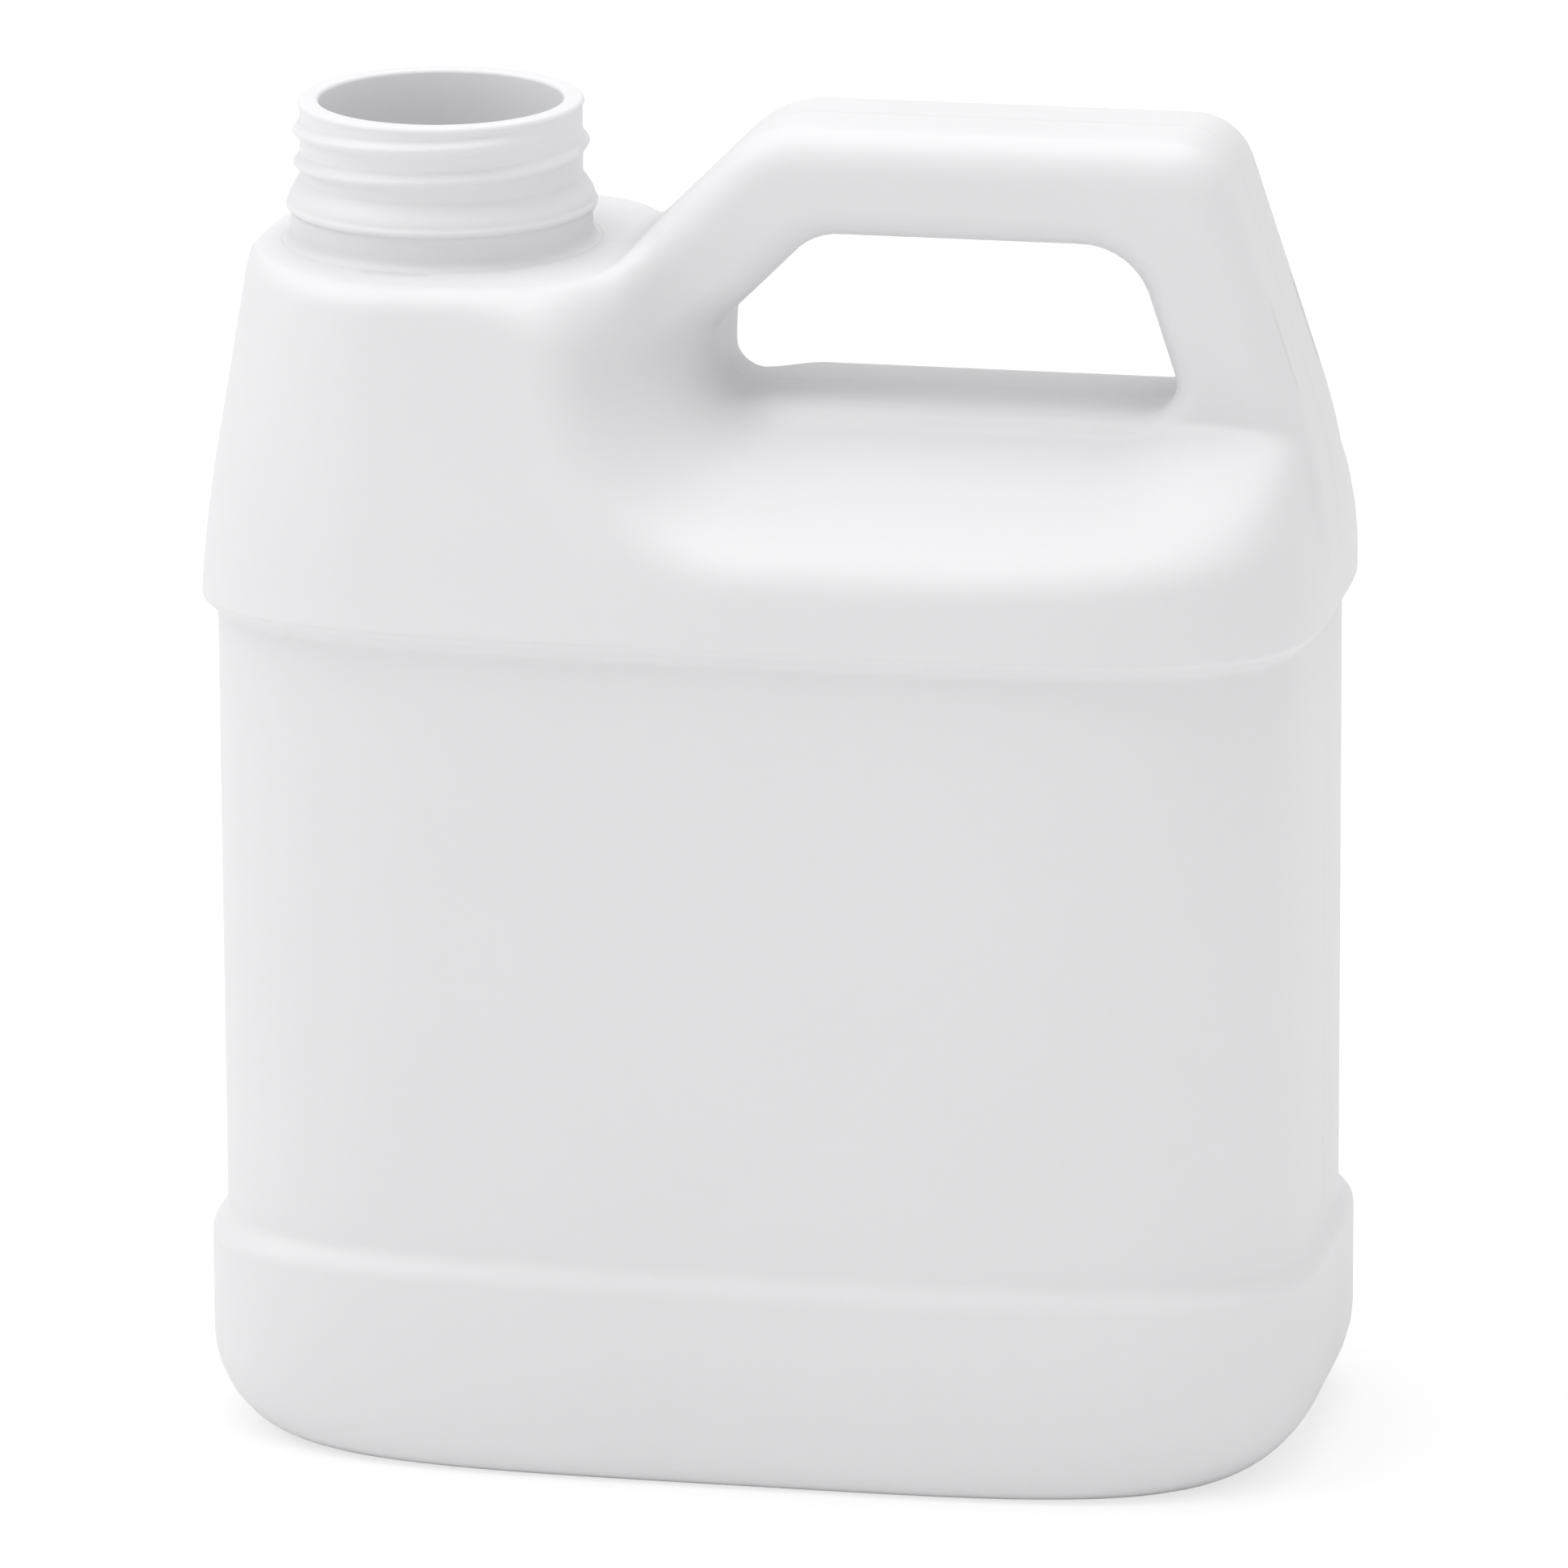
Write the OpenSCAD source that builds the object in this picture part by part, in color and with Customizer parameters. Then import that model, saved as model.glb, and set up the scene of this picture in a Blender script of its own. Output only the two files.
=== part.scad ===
// Blow-moulded jug with a moulded-in handle, in millimetres.
// Origin at the middle of the footprint, on the standing surface.
// +X runs along the jug towards the handle, the label faces -Y, +Z is up.

/* [Body] */
// Length over the shoulder band
body_length = 144; // [132:1:156]
// Depth over the shoulder band
body_depth = 76.8; // [70:0.4:84]
// Squareness of the plan outline (2 is an ellipse)
plan_power = 4.2; // [3.2:0.1:5.5]
// Height at which the shoulder band begins
shoulder_height = 110; // [106:0.5:112]
// Thickness of the moulded wall
wall = 1.1; // [0.8:0.1:1.4]

/* [Base band] */
// Height of the band above the floor
band_height = 25.2; // [18:0.2:32]
// Radius under each end, seen from the front
end_radius = 12; // [9:0.5:14]
// Radius of the lower edge of the front and the back
foot_radius = 2.5; // [2:0.1:4]

/* [Label panel] */
// How far the panel lies below the bands
panel_recess = 1.85; // [1:0.05:2.5]
// Height of the ledge under the panel
ledge_rise = 3.3; // [2.4:0.1:4.5]
// Height of the step above the panel
step_rise = 2.5; // [2:0.1:4]

/* [Tower] */
// Rise of the edge of the shelf round the neck over the lip of the finger gap
tower_rise = 16.1; // [14.5:0.1:17.5]
// Depth of the shelf round the neck
tower_depth = 60; // [54:1:66]
// Distance from the neck's axis to the outer end of the shelf
tower_reach = 24.4; // [23.5:0.1:26]
// Radius of the edge round the shelf
shelf_radius = 3; // [2.4:0.1:3.6]

/* [Handle] */
// Rise of the top of the handle over the edge of the shelf
handle_rise = 18.7; // [17:0.1:20.5]
// Depth of the handle, front to back
handle_depth = 26; // [23:0.5:30]
// Thickness of the bar, top to bottom
bar_thickness = 13.3; // [12:0.1:15]
// Radius along the outer edges
outer_edge_radius = 5; // [3.5:0.1:6]
// Radius along the edges of the finger gap
gap_edge_radius = 3.7; // [3:0.1:4.5]

/* [Finger gap] */
// Rise of the lip under the gap over the beginning of the shoulder band
lip_rise = 25.6; // [24:0.2:27.6]
// Left side of the gap
gap_left = -6.6; // [-8:0.2:-2]
// Right side of the gap, at the lip
gap_right = 54.1; // [50:0.1:56]

/* [Neck] */
// Distance of the neck's axis from the middle of the jug
neck_offset = 43.6; // [42:0.1:45]
// Rise of the rim over the edge of the shelf
neck_rise = 18.8; // [17:0.1:20.5]
// Radius of the mouth
mouth_radius = 15.5; // [14:0.1:16.2]
// Radius of the neck over the finish
finish_radius = 18.1; // [17.5:0.1:18.8]
// Radius of the bead under the finish
bead_radius = 19.8; // [19.4:0.1:20.5]
// Rise of the crest of the bead over the edge of the shelf
bead_rise = 5.4; // [4.6:0.1:6.2]

/* [Hidden] */
$fn = 96;
half_length = body_length / 2;
half_depth = body_depth / 2;
neck_x = -neck_offset;
lip_height = shoulder_height + lip_rise;
tower_height = lip_height + tower_rise;
handle_height = tower_height + handle_rise;
rim_height = tower_height + neck_rise;
bead_height = tower_height + bead_rise;
// Half of the flat strip left by the parting of the mould, on the ends and on the tower
end_flat = handle_depth / 2 - outer_edge_radius;
seam_flat = 0.4;
// Slant of the neck end and of the handle's leg, in mm inwards for each mm upwards
slant_start = shoulder_height + 8;
left_slant = (half_length - neck_offset - tower_reach) / (tower_height - 1.7 - slant_start);
leg_slant = 0.33;
leg_start = shoulder_height + 16.3;
left_blend = 1.2;
leg_blend = 4;
// How far the body's own end falls back behind the leg over the shoulder
end_drop = 1;
// The slope under the handle turns up round this centre to become the side of the tower
bowl = [0.6, lip_height + 6.4];
bowl_squeeze = 0.88;
bowl_lean = 0.35;
// The slope stands a little higher in front of the leg
leg_rise = 2.4;
fold_width = 6;
// The edge of the gap is rounder at the foot of the tower
root_edge = 4.6;
// Grid of each half: columns left of, under and right of the gap, and rows in the same way
left_columns = 20;
middle_columns = 16;
right_columns = 10;
columns = left_columns + middle_columns + right_columns;
gap_c0 = left_columns;
gap_c1 = left_columns + middle_columns;
slope_rows = 10;
gap_rows = 6;
top_rows = 10;
arc_steps = 8;
arc_count = arc_steps + 1;

function clamp01(v) = min(max(v, 0), 1);
function mix(a, b, t) = a + (b - a) * t;
function ease(t) = let (c = clamp01(t)) c * c * (3 - 2 * c);
function soft_min(a, b, k) = let (t = max(k - abs(a - b), 0) / k) min(a, b) - t * t * k / 4;
function soft_max(a, b, k) = -soft_min(-a, -b, k);
// Depth taken off by an edge of radius r at the distance d from the outline
function edge_loss(d, r) = d >= r ? 0 : r - sqrt(max(r * r - pow(r - max(d, 0), 2), 0));

// Upright section: the recess of the panel, then the half depth and the two ends
function recess(z) = panel_recess * ease((z - band_height) / ledge_rise)
    * (1 - ease((z - shoulder_height + step_rise) / step_rise));
function depth_at(z) = half_depth - recess(z) - edge_loss(z, foot_radius);
function end_at(z) = half_length - recess(z) - edge_loss(z, end_radius);
function left_x(z) = -end_at(z) + soft_max(0, (z - slant_start) * left_slant, left_blend);
function right_x(z) = end_at(z) - soft_max(0, (z - leg_start) * leg_slant, leg_blend);

// Outlines seen from the front
function unit(v) = v / norm(v);
function turn_arc(a, p, b, r) = let (
    u = unit(a - p),
    v = unit(b - p),
    half = acos(clamp01(u * v * 0.5 + 0.5) * 2 - 1) / 2,
    centre = p + unit(u + v) * r / sin(half),
    s = p + u * r / tan(half),
    e = p + v * r / tan(half)
) [for (k = [0 : arc_steps]) let (
    t = k / arc_steps,
    w = unit(mix(unit(s - centre), unit(e - centre), (1 - cos(180 * t)) / 2))
) centre + w * r];

gap_top = handle_height - bar_thickness;
shelf_height = tower_height + 0.7;
shelf_end = [neck_x - tower_reach + 0.3, shelf_height];
saddle = [neck_x + 24.8, shelf_height];
rise_top = [saddle[0] + handle_height - saddle[1], handle_height];
leg_corner = [right_x(handle_height), handle_height];
side_z = tower_height - 8;
leg_z = tower_height + 1;
top_corners = [
    [left_x(side_z), side_z],
    shelf_end,
    saddle,
    rise_top,
    leg_corner,
    [right_x(leg_z), leg_z]
];
top_radii = [0, 3, 5, 13, 8, 0];
top_path = concat(
    [top_corners[0]],
    [for (k = [1 : 4]) each turn_arc(top_corners[k - 1], top_corners[k], top_corners[k + 1], top_radii[k])],
    [top_corners[5]]
);
// The rise of the gap keeps a constant wall of handle beside the outer rise
rise_offset = saddle[1] - saddle[0] - 20.5;
gap_rise_foot = [gap_left, gap_left + rise_offset];
gap_rise_top = [gap_top - rise_offset, gap_top];
gap_lean = 0.326;
gap_corners = [
    [gap_left, lip_height],
    [gap_right, lip_height],
    [gap_right - (gap_top - lip_height) * gap_lean, gap_top],
    gap_rise_top,
    gap_rise_foot
];
gap_radii = [3.2, 4, 9, 7.7, 3];
gap_path = [for (k = [0 : 4]) each
    turn_arc(gap_corners[(k + 4) % 5], gap_corners[k], gap_corners[(k + 1) % 5], gap_radii[k])];
gap_loop = concat(gap_path, [gap_path[0]]);

function slice(path, first, last) = [for (k = [first : last]) path[k % len(path)]];
function reversed(path) = [for (k = [len(path) - 1 : -1 : 0]) path[k]];
function lengths(path, k = 0, sum = 0, acc = []) = k >= len(path) ? acc :
    let (s = k == 0 ? 0 : sum + norm(path[k] - path[k - 1])) lengths(path, k + 1, s, concat(acc, [s]));
// The points of a path at the given fractions of its length
function sampled(path, fractions) = let (
    run = lengths(path),
    total = run[len(run) - 1],
    xs = [for (k = [0 : len(path) - 1]) [run[k], path[k][0]]],
    zs = [for (k = [0 : len(path) - 1]) [run[k], path[k][1]]]
) [for (f = fractions) [lookup(f * total, xs), lookup(f * total, zs)]];
function even(n) = [for (k = [0 : n]) k / n];
function waved(n) = [for (k = [0 : n]) (1 - cos(180 * k / n)) / 2];

arc_mid = arc_steps / 2;
outer_left = slice(top_path, 0, 1 + arc_mid);
outer_shelf = slice(top_path, 1 + arc_mid, 2 * arc_count);
outer_bar = slice(top_path, 2 * arc_count, 1 + 3 * arc_count);
outer_corner = slice(top_path, 1 + 3 * arc_count, 1 + 3 * arc_count + arc_mid);
outer_leg = reversed(slice(top_path, 1 + 3 * arc_count + arc_mid, len(top_path) - 1));
gap_bottom_side = slice(gap_path, arc_mid, arc_count + arc_mid);
gap_right_side = slice(gap_path, arc_count + arc_mid, 2 * arc_count + arc_mid);
gap_top_side = reversed(slice(gap_path, 2 * arc_count + arc_mid, 4 * arc_count + arc_mid));
gap_left_side = reversed(slice(gap_path, 4 * arc_count + arc_mid, 5 * arc_count + arc_mid));

function segment_distance(p, a, b) = let (t = clamp01((p - a) * (b - a) / ((b - a) * (b - a))))
    norm(p - a - (b - a) * t);
function path_distance(p, path) = min([for (k = [1 : len(path) - 1])
    segment_distance(p, path[k - 1], path[k])]);
// Height of the outline of the shelf and the handle above a place along the jug
top_line = slice(top_path, 1 + arc_mid, 1 + 3 * arc_count + arc_mid);
function outline_z(x) = lookup(x, top_line);

// Half depth of the slope between the shoulder fold and the lip
slope_low = lip_height - 13.8;
slope_high = lip_height - 2.6;
slope_inner = handle_depth / 2 - 0.5;
slope_outer = half_depth - 2.4;
function slope_y(z) = z >= slope_high ? max(slope_inner - 2 * (z - slope_high), 0) :
    slope_inner + (slope_outer - slope_inner) * pow((slope_high - z) / (slope_high - slope_low), 0.87);
// Height on the plain slope that a place on the slope or on the side of the tower matches
function bowl_z(x, z) = let (
    side = bowl_squeeze * min(x + bowl_lean * soft_max(z - lip_height - 4, 0, 8) - bowl[0], 0),
    down = max(bowl[1] - z, 0)
) bowl[1] - norm([side, down])
    - leg_rise * ease((x - gap_right + 9) / 12) * ease((z - slope_low) / (lip_height - slope_low));
// Squareness of the plan: the share of the depth that is left at a place along the jug
function plan_share(x, z) = let (
    drop = end_drop * ease((z - shoulder_height - 3) / 15),
    reach = x < 0 ? x / left_x(z) : x / (right_x(z) - drop)
) pow(1 - pow(clamp01(reach), plan_power), 1 / plan_power);
// Plan of the shelf: an ellipse on the neck end, squarer towards the handle
function shelf_y(x, z) = let (
    outer = x < neck_x,
    reach = outer ? (neck_x - x) / (neck_x - left_x(z)) : (x - neck_x) / 60,
    power = outer ? 2 : 4
) tower_depth / 2 * pow(max(1 - pow(reach, power), 0), 1 / power);
function front_y(x, z) = let (
    lift = clamp01((z - shoulder_height) / (tower_height - shoulder_height)),
    fade = 1 - ease((x - neck_x - 18.6) / 30)
) mix(depth_at(z) * plan_share(x, z), shelf_y(x, z), lift * fade);
// The edge of the shelf is wider beside the handle
function shelf_edge(x) = mix(shelf_radius, shelf_radius + 4, ease((x - neck_x - 8) / 14));
function body_y(x, z) = z < slope_low - 8 ? front_y(x, z) : let (
    share = x < 0 ? 1 : plan_share(x, z),
    face = soft_min(front_y(x, z), slope_y(bowl_z(x, z)) * share, fold_width)
) x < neck_x + 30 && z > tower_height - 12 ? face - edge_loss(outline_z(x) - z, shelf_edge(x)) : face;
// Radius of the edge of the gap at a place beside it
function gap_edge(x, z) = gap_edge_radius + root_edge * ease((4 - x) / 8) * ease((lip_height + 16 - z) / 12);
function handle_y(x, z) = let (
    p = [x, z],
    to_top = z > side_z ? path_distance(p, top_path) : outer_edge_radius,
    to_outer = min(to_top, max(right_x(z) - x, 0))
) (handle_depth / 2 - edge_loss(to_outer, outer_edge_radius)) * ease((x - neck_x - 10) / 9);
function flat_y(x, z) = x > neck_x + 25 ? end_flat - gap_edge_radius :
    mix(end_flat, seam_flat, ease((z - slant_start) / (tower_height - slant_start)));
// The handle runs softly out of the tower and stands crisply on the slope
function root_width(x) = mix(6, 2, ease((x - gap_left) / 30));
function skin_y(x, z) = z < shoulder_height + 3 ? max(body_y(x, z), end_flat) :
    let (loss = edge_loss(path_distance([x, z], gap_loop), gap_edge(x, z)))
    max(soft_max(body_y(x, z), handle_y(x, z), root_width(x)) - loss, flat_y(x, z));

// Grid of the front half in the plane of the parting
panel_low = band_height + ledge_rise;
panel_high = shoulder_height - step_rise;
low_rows = concat(
    [for (f = [0, 0.05, 0.22, 0.5, 1]) f * foot_radius],
    [for (f = [0.28, 0.6, 1]) mix(foot_radius, end_radius, f)],
    [band_height - 0.6],
    [for (f = [0.25, 0.5, 0.75, 1]) band_height + f * ledge_rise],
    [mix(panel_low, panel_high, 0.5)],
    [for (f = [0, 0.33, 0.67, 1]) panel_high + f * step_rise],
    [shoulder_height + 3]
);
low_count = len(low_rows) - 1;
gap_r0 = low_count + slope_rows;
gap_r1 = gap_r0 + gap_rows;
rows = gap_r1 + top_rows;
split_left = gap_left + 1.3;
split_right = gap_right - 5;
fl = 0.8 * waved(left_columns) + 0.2 * even(left_columns);
fm = even(middle_columns);
fr = waved(right_columns);
function flat_row(z) = concat(
    [for (f = fl) [mix(left_x(z), split_left, f), z]],
    [for (k = [1 : middle_columns]) [mix(split_left, split_right, fm[k]), z]],
    [for (k = [1 : right_columns]) [mix(split_right, right_x(z), fr[k]), z]]
);
function joined(a, b, c) = concat(a, [for (k = [1 : len(b) - 1]) b[k]], [for (k = [1 : len(c) - 1]) c[k]]);
function straight(a, b, fractions) = [for (f = fractions) mix(a, b, f)];
lip_left = gap_bottom_side[0];
lip_right = gap_bottom_side[len(gap_bottom_side) - 1];
rise_left = gap_top_side[0];
rise_right = gap_top_side[len(gap_top_side) - 1];
row_lip = joined(
    straight([left_x(lip_left[1]), lip_left[1]], lip_left, fl),
    sampled(gap_bottom_side, fm),
    straight(lip_right, [right_x(lip_right[1]), lip_right[1]], fr)
);
row_rise = joined(
    straight(top_corners[0], rise_left, fl),
    sampled(gap_top_side, fm),
    straight(rise_right, top_corners[5], fr)
);
row_top = joined(sampled(outer_shelf, fl), sampled(outer_bar, fm), sampled(outer_corner, even(right_columns)));
row_low = flat_row(low_rows[low_count]);
// A block between two rows, its two sides bent to the given curves
function block(low, high, left, right, cols, steps) = let (n = cols[1] - cols[0])
    [for (j = [0 : steps]) let (v = left[2][j]) [for (i = [cols[0] : cols[1]]) let (
        u = (i - cols[0]) / n,
        p = mix(low[i], high[i], v),
        dl = left[0][j] - mix(low[cols[0]], high[cols[0]], v),
        dr = right[0][j] - mix(low[cols[1]], high[cols[1]], v)
    ) p + dl * (1 - u) + dr * u]];
slope_f = [for (k = [0 : slope_rows]) sin(90 * k / slope_rows)];
gap_f = waved(gap_rows);
top_f = waved(top_rows);
function end_curve(low, high, fractions, right) = [for (f = fractions) let (z = mix(low[1], high[1], f))
    [right ? right_x(z) : left_x(z), z]];
slope_grid = block(row_low, row_lip,
    [end_curve(row_low[0], row_lip[0], slope_f, false), 0, slope_f],
    [end_curve(row_low[columns], row_lip[columns], slope_f, true)],
    [0, columns], slope_rows);
gap_left_grid = block(row_lip, row_rise,
    [end_curve(row_lip[0], row_rise[0], gap_f, false), 0, gap_f],
    [sampled(gap_left_side, gap_f)], [0, gap_c0], gap_rows);
gap_right_grid = block(row_lip, row_rise,
    [sampled(gap_right_side, gap_f), 0, gap_f],
    [end_curve(row_lip[columns], row_rise[columns], gap_f, true)], [gap_c1, columns], gap_rows);
top_left_grid = block(row_rise, row_top, [sampled(outer_left, top_f), 0, top_f],
    [straight(row_rise[gap_c0], row_top[gap_c0], top_f)], [0, gap_c0], top_rows);
top_middle_grid = block(row_rise, row_top,
    [straight(row_rise[gap_c0], row_top[gap_c0], top_f), 0, top_f],
    [straight(row_rise[gap_c1], row_top[gap_c1], top_f)], [gap_c0, gap_c1], top_rows);
top_right_grid = block(row_rise, row_top,
    [straight(row_rise[gap_c1], row_top[gap_c1], top_f), 0, top_f],
    [sampled(outer_leg, top_f)], [gap_c1, columns], top_rows);
// Rows between the lip and the rise keep empty places where the gap is
empty = [for (k = [1 : middle_columns - 1]) [0, 0]];
plan_grid = concat(
    [for (z = low_rows) flat_row(z)],
    [for (j = [1 : slope_rows]) slope_grid[j]],
    [for (j = [1 : gap_rows - 1]) concat(gap_left_grid[j], empty, gap_right_grid[j])],
    [for (j = [0 : top_rows]) joined(top_left_grid[j], top_middle_grid[j], top_right_grid[j])]
);
function in_gap(i, j) = i > gap_c0 && i < gap_c1 && j > gap_r0 && j < gap_r1;
skin = [for (j = [0 : rows]) [for (i = [0 : columns]) let (p = plan_grid[j][i])
    in_gap(i, j) ? [0, 0, 0] : [p[0], -skin_y(p[0], p[1]), p[1]]]];

// Inside of the wall: each point of the skin moved inwards by the wall
function on_outer(i, j) = i == 0 || i == columns || j == 0 || j == rows;
function on_gap(i, j) = i >= gap_c0 && i <= gap_c1 && j >= gap_r0 && j <= gap_r1;
function outer_step(i, j) = j == 0 && i < columns ? [i + 1, 0] : i == columns && j < rows ? [columns, j + 1] :
    j == rows && i > 0 ? [i - 1, rows] : [0, j - 1];
function outer_back(i, j) = j == 0 && i > 0 ? [i - 1, 0] : i == columns && j > 0 ? [columns, j - 1] :
    j == rows && i < columns ? [i + 1, rows] : [0, j + 1];
function gap_step(i, j) = j == gap_r0 && i < gap_c1 ? [i + 1, j] : i == gap_c1 && j < gap_r1 ? [i, j + 1] :
    j == gap_r1 && i > gap_c0 ? [i - 1, j] : [i, j - 1];
function gap_back(i, j) = j == gap_r0 && i > gap_c0 ? [i - 1, j] : i == gap_c1 && j > gap_r0 ? [i, j - 1] :
    j == gap_r1 && i < gap_c1 ? [i + 1, j] : [i, j + 1];
function at(q) = skin[q[1]][q[0]];
function edge_way(a, b) = let (t = at(b) - at(a)) unit([-t[2], 0, t[0]]);
function face_way(i, j) = let (
    a = at([min(i + 1, columns), j]) - at([max(i - 1, 0), j]),
    b = at([i, min(j + 1, rows)]) - at([i, max(j - 1, 0)])
) unit(cross(b, a));
function inward(i, j) = on_outer(i, j) ? edge_way(outer_back(i, j), outer_step(i, j)) :
    on_gap(i, j) ? -edge_way(gap_back(i, j), gap_step(i, j)) : face_way(i, j);
lining = [for (j = [0 : 2 : rows]) [for (i = [0 : 2 : columns])
    in_gap(i, j) ? [0, 0, 0] : at([i, j]) + wall * inward(i, j)]];

// Number of a grid point, leaving out the empty places of the gap
function row_start(j, c0, c1, r0, r1, n) = j * (n + 1) - max(min(j - r0 - 1, r1 - r0 - 1), 0) * (c1 - c0 - 1);
function spot(i, j, g) = row_start(j, g[0], g[1], g[2], g[3], g[4])
    + (j > g[2] && j < g[3] && i >= g[1] ? i - (g[1] - g[0] - 1) : i);

// A cell of the grid as two triangles, cut along its shorter diagonal
function halves(c, p) = norm(p[c[0]] - p[c[2]]) <= norm(p[c[1]] - p[c[3]])
    ? [[c[0], c[1], c[2]], [c[0], c[2], c[3]]]
    : [[c[1], c[2], c[3]], [c[1], c[3], c[0]]];

// Closed half-and-half body from a grid of the front half and its mirror image
module mirrored_body(grid, g) {
    n = g[4];
    m = g[5];
    front = [for (j = [0 : m]) for (i = [0 : n])
        if (!(i > g[0] && i < g[1] && j > g[2] && j < g[3])) grid[j][i]];
    back = [for (p = front) [p[0], -p[1], p[2]]];
    count = len(front);
    cells = [for (j = [0 : m - 1]) for (i = [0 : n - 1])
        if (!(i >= g[0] && i < g[1] && j >= g[2] && j < g[3]))
            [spot(i, j, g), spot(i, j + 1, g), spot(i + 1, j + 1, g), spot(i + 1, j, g)]];
    rim = concat(
        [for (i = [0 : n - 1]) spot(i, 0, g)],
        [for (j = [0 : m - 1]) spot(n, j, g)],
        [for (i = [n : -1 : 1]) spot(i, m, g)],
        [for (j = [m : -1 : 1]) spot(0, j, g)]
    );
    hole = concat(
        [for (i = [g[0] : g[1] - 1]) spot(i, g[2], g)],
        [for (j = [g[2] : g[3] - 1]) spot(g[1], j, g)],
        [for (i = [g[1] : -1 : g[0] + 1]) spot(i, g[3], g)],
        [for (j = [g[3] : -1 : g[2] + 1]) spot(g[0], j, g)]
    );
    faces = concat(
        [for (c = cells) each halves(c, front)],
        [for (c = cells) each [for (t = halves(c, front)) [t[2] + count, t[1] + count, t[0] + count]]],
        [for (k = [0 : len(rim) - 1]) let (a = rim[k], b = rim[(k + 1) % len(rim)])
            each [[a, b, b + count], [a, b + count, a + count]]],
        [for (k = [0 : len(hole) - 1]) let (a = hole[k], b = hole[(k + 1) % len(hole)])
            each [[b, a, b + count], [b + count, a, a + count]]]
    );
    polyhedron(points = concat(front, back), faces = faces, convexity = 6);
}

// Outside of the moulding, from the floor to the top of the handle
module outer_body() {
    color([0.94, 0.94, 0.94]) mirrored_body(skin, [gap_c0, gap_c1, gap_r0, gap_r1, columns, rows]);
}

// The space that the wall leaves, through the handle too
module inner_space() {
    color([0.94, 0.94, 0.94])
        mirrored_body(lining, [gap_c0 / 2, gap_c1 / 2, gap_r0 / 2, gap_r1 / 2, columns / 2, rows / 2]);
}

// Neck with its bead and rim, turned about its own axis
finish_foot = bead_height + 3.8;
rim_chamfer = 0.6;
skirt_radius = bead_radius - 0.6;
neck_root = tower_height - 11;
module neck() {
    color([0.9, 0.9, 0.9]) translate([neck_x, 0, 0]) rotate_extrude() polygon([
        [0, neck_root],
        [skirt_radius, neck_root],
        [skirt_radius, bead_height - 1.4],
        [bead_radius - 0.15, bead_height - 0.7],
        [bead_radius, bead_height],
        [bead_radius - 0.15, bead_height + 0.6],
        [finish_radius, finish_foot],
        [finish_radius, rim_height - rim_chamfer],
        [finish_radius - rim_chamfer, rim_height],
        [0, rim_height]
    ]);
}

// The bore of the mouth, down into the hollow
module mouth() {
    color([0.9, 0.9, 0.9]) translate([neck_x, 0, neck_root - 1])
        cylinder(r = mouth_radius, h = rim_height - neck_root + 2);
}

// The whole moulding
module jug() {
    difference() {
        union() {
            outer_body();
            neck();
        }
        inner_space();
        mouth();
    }
}

jug();
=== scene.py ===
"""Blow-moulded plastic jug: the moulding, its neck, the plastic, the floor, the light and the camera."""

import logging
import math
from dataclasses import dataclass, field
from enum import Enum

import bmesh
import bpy
from mathutils import Matrix, Vector

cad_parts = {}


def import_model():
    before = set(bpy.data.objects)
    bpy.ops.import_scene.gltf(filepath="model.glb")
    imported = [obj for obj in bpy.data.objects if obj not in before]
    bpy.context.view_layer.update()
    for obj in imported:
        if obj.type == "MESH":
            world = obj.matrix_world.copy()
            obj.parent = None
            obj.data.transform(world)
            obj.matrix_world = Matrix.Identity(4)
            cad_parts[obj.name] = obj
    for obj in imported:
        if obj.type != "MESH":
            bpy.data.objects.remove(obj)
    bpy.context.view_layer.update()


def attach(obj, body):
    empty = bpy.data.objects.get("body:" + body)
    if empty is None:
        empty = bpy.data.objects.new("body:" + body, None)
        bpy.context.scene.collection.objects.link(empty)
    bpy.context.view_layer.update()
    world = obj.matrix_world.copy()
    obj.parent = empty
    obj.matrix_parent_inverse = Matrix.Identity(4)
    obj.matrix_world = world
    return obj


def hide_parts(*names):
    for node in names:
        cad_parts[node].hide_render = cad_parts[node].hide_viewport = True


log = logging.getLogger("jug")

MM = 0.001
NEAR = 1e-4
MERGE = 1e-5
Point = tuple[float, float]
Path = list[Point]


class Side(Enum):
    """The two ends of the jug."""

    NECK_END = -1
    HANDLE_END = 1


# Small sums used by every form


def clamp01(value: float) -> float:
    """Returns value held between 0 and 1."""
    return min(max(value, 0.0), 1.0)


def mix(a: float, b: float, t: float) -> float:
    """Returns the value a share t of the way from a to b."""
    return a + (b - a) * t


def blend_points(a: Point, b: Point, t: float) -> Point:
    """Returns the point a share t of the way from a to b."""
    return (mix(a[0], b[0], t), mix(a[1], b[1], t))


def ease(t: float) -> float:
    """Returns t eased in and out between 0 and 1."""
    c = clamp01(t)
    return c * c * (3.0 - 2.0 * c)


def soft_min(a: float, b: float, width: float) -> float:
    """Returns the smaller of two values, rounded over where they are within width of each other."""
    t = max(width - abs(a - b), 0.0) / width
    return min(a, b) - t * t * width / 4.0


def soft_max(a: float, b: float, width: float) -> float:
    """Returns the larger of two values, filled out where they are within width of each other."""
    return -soft_min(-a, -b, width)


def edge_loss(distance: float, radius: float) -> float:
    """Returns the depth that a rounded edge takes off at a distance from the outline."""
    if distance >= radius:
        return 0.0
    return radius - math.sqrt(max(radius**2 - (radius - max(distance, 0.0)) ** 2, 0.0))


def even(count: int) -> list[float]:
    """Returns evenly spaced shares from 0 to 1."""
    return [k / count for k in range(count + 1)]


def waved(count: int) -> list[float]:
    """Returns shares from 0 to 1 that crowd towards both ends."""
    return [(1.0 - math.cos(math.pi * k / count)) / 2.0 for k in range(count + 1)]


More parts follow.
